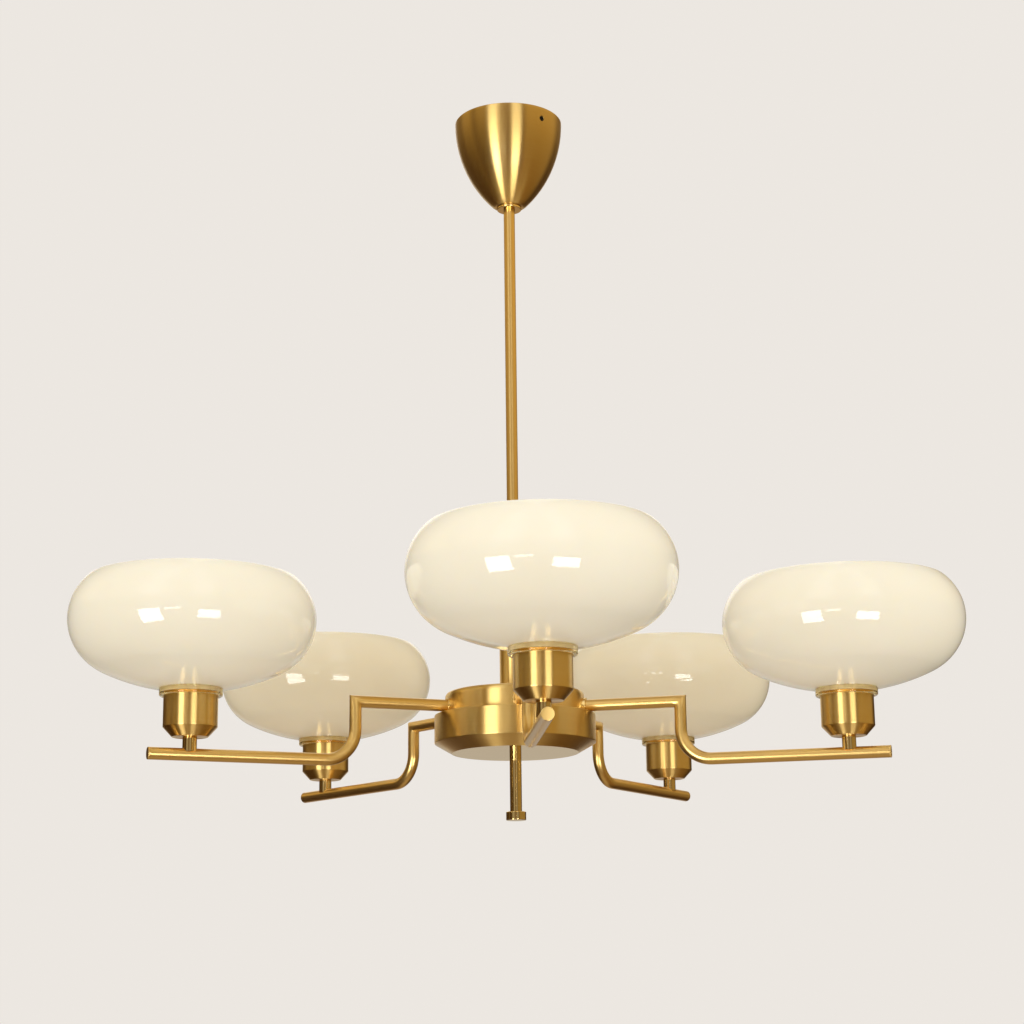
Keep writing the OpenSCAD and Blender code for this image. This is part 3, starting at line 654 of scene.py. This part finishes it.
for i in ARMS:
    out, up = outward(i), Vector((0, 0, 1))
    side = out.cross(up)
    upper_l = LEG_R - MITRE_GAP - ARM_IN
    path = [out * (ARM_IN + upper_l * k / UPPER_STEPS) + up * TOP_Z for k in range(UPPER_STEPS + 1)]
    sections = [(up, 1.0, side)] * (UPPER_STEPS + 1)
    path.append(out * LEG_R + up * TOP_Z)
    sections.append(((up + out).normalized(), sqrt(2), side))
    leg_top, leg_low = TOP_Z - MITRE_GAP, RUN_Z + BEND_R
    path += [out * LEG_R + up * (leg_top + (leg_low - leg_top) * k / LEG_STEPS) for k in range(LEG_STEPS)]
    sections += [(out, 1.0, side)] * LEG_STEPS
    for k in range(BEND_STEPS + 1):
        a = pi + pi / 2 * k / BEND_STEPS
        spoke = out * cos(a) + up * sin(a)
        path.append(out * (LEG_R + BEND_R) + up * leg_low + spoke * BEND_R)
        sections.append((-spoke, 1.0, side))
    run_in = LEG_R + BEND_R
    path += [out * (run_in + (ARM_END - run_in) * k / RUN_STEPS) + up * RUN_Z
             for k in range(1, RUN_STEPS + 1)]
    sections += [(up, 1.0, side)] * RUN_STEPS
    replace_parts(swept(f"arm_tube_{i}", f"arm_{i}", path, sections, TUBE_BRASS), f"arm_{i}")

# ---------------------------------------------------------------------------------------------
# Arm ends: a brass disc soldered into each open end and dressed, so that a fine ring shows.
CAP = 0.0014
for i in ARMS:
    out = outward(i)
    piece = lathe(f"arm_end_{i}", "arm_caps", rounded([
        (0.0, 0.0, 0), (TUBE_R, 0.0, 0), (TUBE_R, CAP, 0.0005), (0.0, CAP + 0.00003, 0)], closed=False),
        out * ARM_END + Vector((0, 0, RUN_Z)), SPUN_BRASS, 48, False, out)
    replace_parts(piece, "arm_caps")

# ---------------------------------------------------------------------------------------------
# Arm collars: thin turned rings that cover the joint where each arm goes into the hub.
COLLAR_R, COLLAR_L = 0.0065, 0.003
for i in ARMS:
    out = outward(i)
    collar = lathe(f"arm_collar_{i}", "arm_ferrules", rounded([
        (TUBE_R, -SHELL, 0), (COLLAR_R, -SHELL, 0), (COLLAR_R, COLLAR_L, 0.0005),
        (TUBE_R, COLLAR_L, 0.0002)]),
        out * upper_r + Vector((0, 0, TOP_Z)), TURNED_BRASS, 64, True, out)
    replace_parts(collar, "arm_ferrules")

# ---------------------------------------------------------------------------------------------
# Posts: short turned and polished studs, saddle-cut and soldered on the arm; each ends in a
# thread that goes up through its cup and takes the nut and the lampholder.
low_corner, high_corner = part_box("post_1")
POST_R, STUD_R, STUD_TOP, WIRE_R = (high_corner.x - low_corner.x) / 2, 0.00495, high_corner.z, 0.003
low_corner, high_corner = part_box("cup_1")
CUP_FOOT, CUP_TOP, CUP_R = low_corner.z, high_corner.z, (high_corner.x - low_corner.x) / 2
for i in ARMS:
    post = lathe(f"turned_post_{i}", f"post_{i}", rounded([
        (WIRE_R, RUN_Z + 0.0042, 0), (POST_R, RUN_Z + 0.0022, 0), (POST_R, CUP_FOOT, 0.0004),
        (STUD_R, CUP_FOOT, 0), (STUD_R, STUD_TOP, 0.0004), (WIRE_R, STUD_TOP, 0)]),
        bowl_axis(i), TURNED_BRASS, 48)
    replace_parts(post, f"post_{i}")

# ---------------------------------------------------------------------------------------------
# Cups: spun brass with a broad chamfer at the foot, brushed round on the lathe and lacquered.
# Each carries a glass bowl on its rim and hides the lampholder.
WALL_T = 0.0009
CHAMFER, FOOT_R, STUD_HOLE_R = 0.0078, 0.0144, 0.005
for i in ARMS:
    cup = lathe(f"brass_cup_{i}", f"cup_{i}", rounded([
        (STUD_HOLE_R, CUP_FOOT, 0), (FOOT_R, CUP_FOOT, 0.0006), (CUP_R, CUP_FOOT + CHAMFER, 0.0010),
        (CUP_R, CUP_TOP, 0.0003), (CUP_R - WALL_T, CUP_TOP, 0.0003),
        (CUP_R - WALL_T, CUP_FOOT + CHAMFER, 0.0006), (FOOT_R - 0.0004, CUP_FOOT + WALL_T, 0),
        (STUD_HOLE_R, CUP_FOOT + WALL_T, 0)]), bowl_axis(i), SPUN_BRASS)
    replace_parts(cup, f"cup_{i}")

# ---------------------------------------------------------------------------------------------
# Lampholders: white moulded sleeves with ribs near a rounded mouth, screwed on the post's thread.
# Each has the socket for a bulb's cap in its top, and a small hole for the leads in its foot.
low_corner, high_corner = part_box("lampholder_1")
HOLDER_FOOT, HOLDER_TOP, HOLDER_R = low_corner.z, high_corner.z, (high_corner.x - low_corner.x) / 2
SOCKET_R, SOCKET_H, LEAD_HOLE_R = 0.0076, 0.023, 0.0022
RIB_COUNT, RIB_PITCH, RIB_DEEP = 6, 0.0022, 0.0008
ribs = []
for k in range(RIB_COUNT):
    rib = HOLDER_TOP - 0.016 + RIB_PITCH * k
    ribs += [(HOLDER_R - RIB_DEEP, rib, 0.0002), (HOLDER_R, rib + 0.0006, 0.0003),
             (HOLDER_R, rib + 0.0011, 0.0003), (HOLDER_R - RIB_DEEP, rib + 0.0017, 0.0002)]
for i in ARMS:
    holder = lathe(f"holder_{i}", f"lampholder_{i}", rounded(
        [(LEAD_HOLE_R, HOLDER_FOOT, 0), (HOLDER_R, HOLDER_FOOT, 0.001),
         (HOLDER_R, HOLDER_TOP - 0.018, 0.0002)] + ribs
        + [(HOLDER_R - RIB_DEEP, HOLDER_TOP, 0.0011), (SOCKET_R, HOLDER_TOP, 0.0005),
           (SOCKET_R, HOLDER_TOP - SOCKET_H, 0), (LEAD_HOLE_R, HOLDER_TOP - SOCKET_H, 0)]),
        bowl_axis(i), WHITE_PLASTIC, 64)
    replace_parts(holder, f"lampholder_{i}")

# ---------------------------------------------------------------------------------------------
# Bulbs: frosted candle bulbs, one piece of blown glass cemented in a rolled aluminium screw cap.
# The glass is two arcs that meet upright at its widest, with the nose drawn to a point.
frost = Finish("frosted_glass")
frost_clouds = frost.noise(frost.place, 60)
frost.shader(Base_Color=frost.blend(frost_clouds, (0.88, 0.88, 0.85), (0.94, 0.94, 0.92)),
             Roughness=0.30 + 0.08 * frost_clouds, Subsurface_Weight=0.4, Subsurface_Scale=0.006,
             Normal=frost.bump(frost.noise(frost.place, 1800, 2), 0.00001))
rolled = Finish("rolled_aluminium")
rolled_height = rolled.node("ShaderNodeSeparateXYZ", {}, {0: rolled.place})[2]
ROLL_PITCH = 0.0014
rolled_wave = rolled.node("ShaderNodeMath", {"operation": "PINGPONG"}, {0: rolled_height, 1: ROLL_PITCH})[0]
rolled_thread = rolled_wave * 714
rolled_clouds = rolled.noise(rolled.place, 200)
rolled.shader(Base_Color=rolled.blend(rolled_clouds, (0.72, 0.72, 0.73), (0.84, 0.84, 0.85)), Metallic=1.0,
              Roughness=0.28 + 0.1 * rolled_clouds, Normal=rolled.bump(rolled_thread, 0.0006))
low_corner, high_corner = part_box("bulb_1")
BULB_FOOT, BULB_TOP, BULB_R = low_corner.z, high_corner.z, (high_corner.x - low_corner.x) / 2
WIDE_H, CAP_NECK_R, NOSE_CUT = 0.027, 0.0074, 2.2
tip_h, waist = BULB_TOP - BULB_FOOT - WIDE_H, BULB_R - CAP_NECK_R
up_r = (tip_h * tip_h + BULB_R ** 2) / (2 * BULB_R)
down_r = (WIDE_H ** 2 + waist ** 2) / (2 * waist)
candle = [(0.0, BULB_FOOT, 0)] + arc(
    BULB_R - down_r, BULB_FOOT + WIDE_H, down_r, -degrees(asin(WIDE_H / down_r)), 0, 14)
candle += arc(BULB_R - up_r, BULB_FOOT + WIDE_H, up_r, 0, degrees(asin(tip_h / up_r)) - NOSE_CUT, 22)[1:]
candle.append((0.0, BULB_TOP, 0))
for i in ARMS:
    keeps(f"bulb_cap_{i}", rolled.material)
    bulb = lathe(f"candle_{i}", f"bulb_{i}", candle, bowl_axis(i), frost.material, 64, False)
    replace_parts(bulb, f"bulb_{i}")

# ---------------------------------------------------------------------------------------------
# Bowls: mouth-blown cream opal glass cased in clear, with a ground rim. A clear foot ring drops
# round the top of the brass cup, and the bowl just rests there, so it lifts off for cleaning.
def opal(name, dark, light):
    """Cream glass: cloudy in the mass, glossy, with the slow waves of blown glass."""
    cream = Finish(name)
    clouds = cream.noise(cream.place, 14)
    waves = cream.noise(cream.stretch(cream.place, (1, 1, 2.5)), 9, 1)
    cream.shader(Base_Color=cream.blend(clouds, dark, light), Roughness=0.035, IOR=1.52,
                 Subsurface_Weight=0.35, Subsurface_Radius=(1.0, 0.8, 0.5), Subsurface_Scale=0.008,
                 Normal=cream.bump(waves, 0.00008))
    return cream.material


CREAM = opal("cream_opal_glass", (0.86, 0.785, 0.63), (0.90, 0.835, 0.695))
# A darker, tanner copy of the same cream glass: painted shade for the bowls at the back, not a different
# glass.
SHADED_CREAM = opal("cream_opal_glass_painted_shade", (0.76, 0.66, 0.47), (0.81, 0.72, 0.54))
# Clear glass for the foot rings. Its honey tint is a painted reflection of the brass cup under it; the glass
# itself is clear.
clear = Finish("clear_glass")
clear_waves = clear.noise(clear.place, 40, 1)
clear.shader(Base_Color=clear.blend(clear_waves, (0.90, 0.72, 0.38), (0.95, 0.80, 0.50)), Roughness=0.01,
             IOR=1.5, Transmission_Weight=1.0, Normal=clear.bump(clear_waves, 0.0002))

low_corner, high_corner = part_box("shade_1")
RIM_Z = high_corner.z
BASE_ARC, SIDE_ARC, UPPER_ARC, SLOPE, GLASS = 0.1716, 0.0455, 0.043, 25.0, 0.0036
BASE_LIFT = 0.0019
base_up = CUP_TOP + BASE_LIFT + BASE_ARC
side_r = (BASE_ARC - SIDE_ARC) * sin(radians(SLOPE))
side_z = base_up - (BASE_ARC - SIDE_ARC) * cos(radians(SLOPE))
upper_arc_r = side_r + SIDE_ARC - UPPER_ARC
GLASS_HOLE_R, SEAT_R = 0.0184, 0.0225
LIP_IN_R, LIP_R, LIP_H, LIP_DROP = 0.0221, 0.0252, 0.0052, 0.0026


def glass_wall(inset):
    """The bowl's side from foot to rim, set in from the outer skin."""
    start = -degrees(atan2(sqrt((BASE_ARC - inset) ** 2 - SEAT_R ** 2), SEAT_R))
    rim = degrees(asin((RIM_Z - side_z) / (UPPER_ARC - inset)))
    return (arc(0, base_up, BASE_ARC - inset, start, SLOPE - 90, 16)
            + arc(side_r, side_z, SIDE_ARC - inset, SLOPE - 90, 0, 22)[1:]
            + arc(upper_arc_r, side_z, UPPER_ARC - inset, 0, rim, 18)[1:])


skin, lining = glass_wall(0), glass_wall(GLASS)
skin[-1] = (skin[-1][0] + 0.0004, skin[-1][1] - 0.0004, 0)
skin.append((skin[-1][0] - 0.0007, RIM_Z, 0))
lining[-1] = (lining[-1][0] + 0.0005, RIM_Z, 0)
seat = [(GLASS_HOLE_R, CUP_TOP + 0.0001, 0), (SEAT_R + 0.0001, CUP_TOP + 0.0001, 0)]
outline = [(GLASS_HOLE_R, lining[0][1], 0)] + seat + skin + lining[::-1]
bead = rounded([
    (LIP_IN_R, CUP_TOP - LIP_DROP, 0.0004), (LIP_R, CUP_TOP - LIP_DROP, 0.0016),
    (LIP_R, CUP_TOP + LIP_H, 0.0020), (LIP_IN_R, CUP_TOP + LIP_H, 0.0004)])
BACK_ARMS = (3, 4)
for i in ARMS:
    axis = bowl_axis(i)
    # The two back bowls take the copy with painted shade.
    cream_or_shaded = SHADED_CREAM if i in BACK_ARMS else CREAM
    bowl = lathe(f"glass_bowl_{i}", f"shade_{i}", outline, axis, cream_or_shaded, 160)
    lip = lathe(f"glass_lip_{i}", f"shade_{i}", bead, axis, clear.material, 128)
    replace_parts(bowl, f"shade_{i}")
    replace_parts(lip, f"shade_{i}")
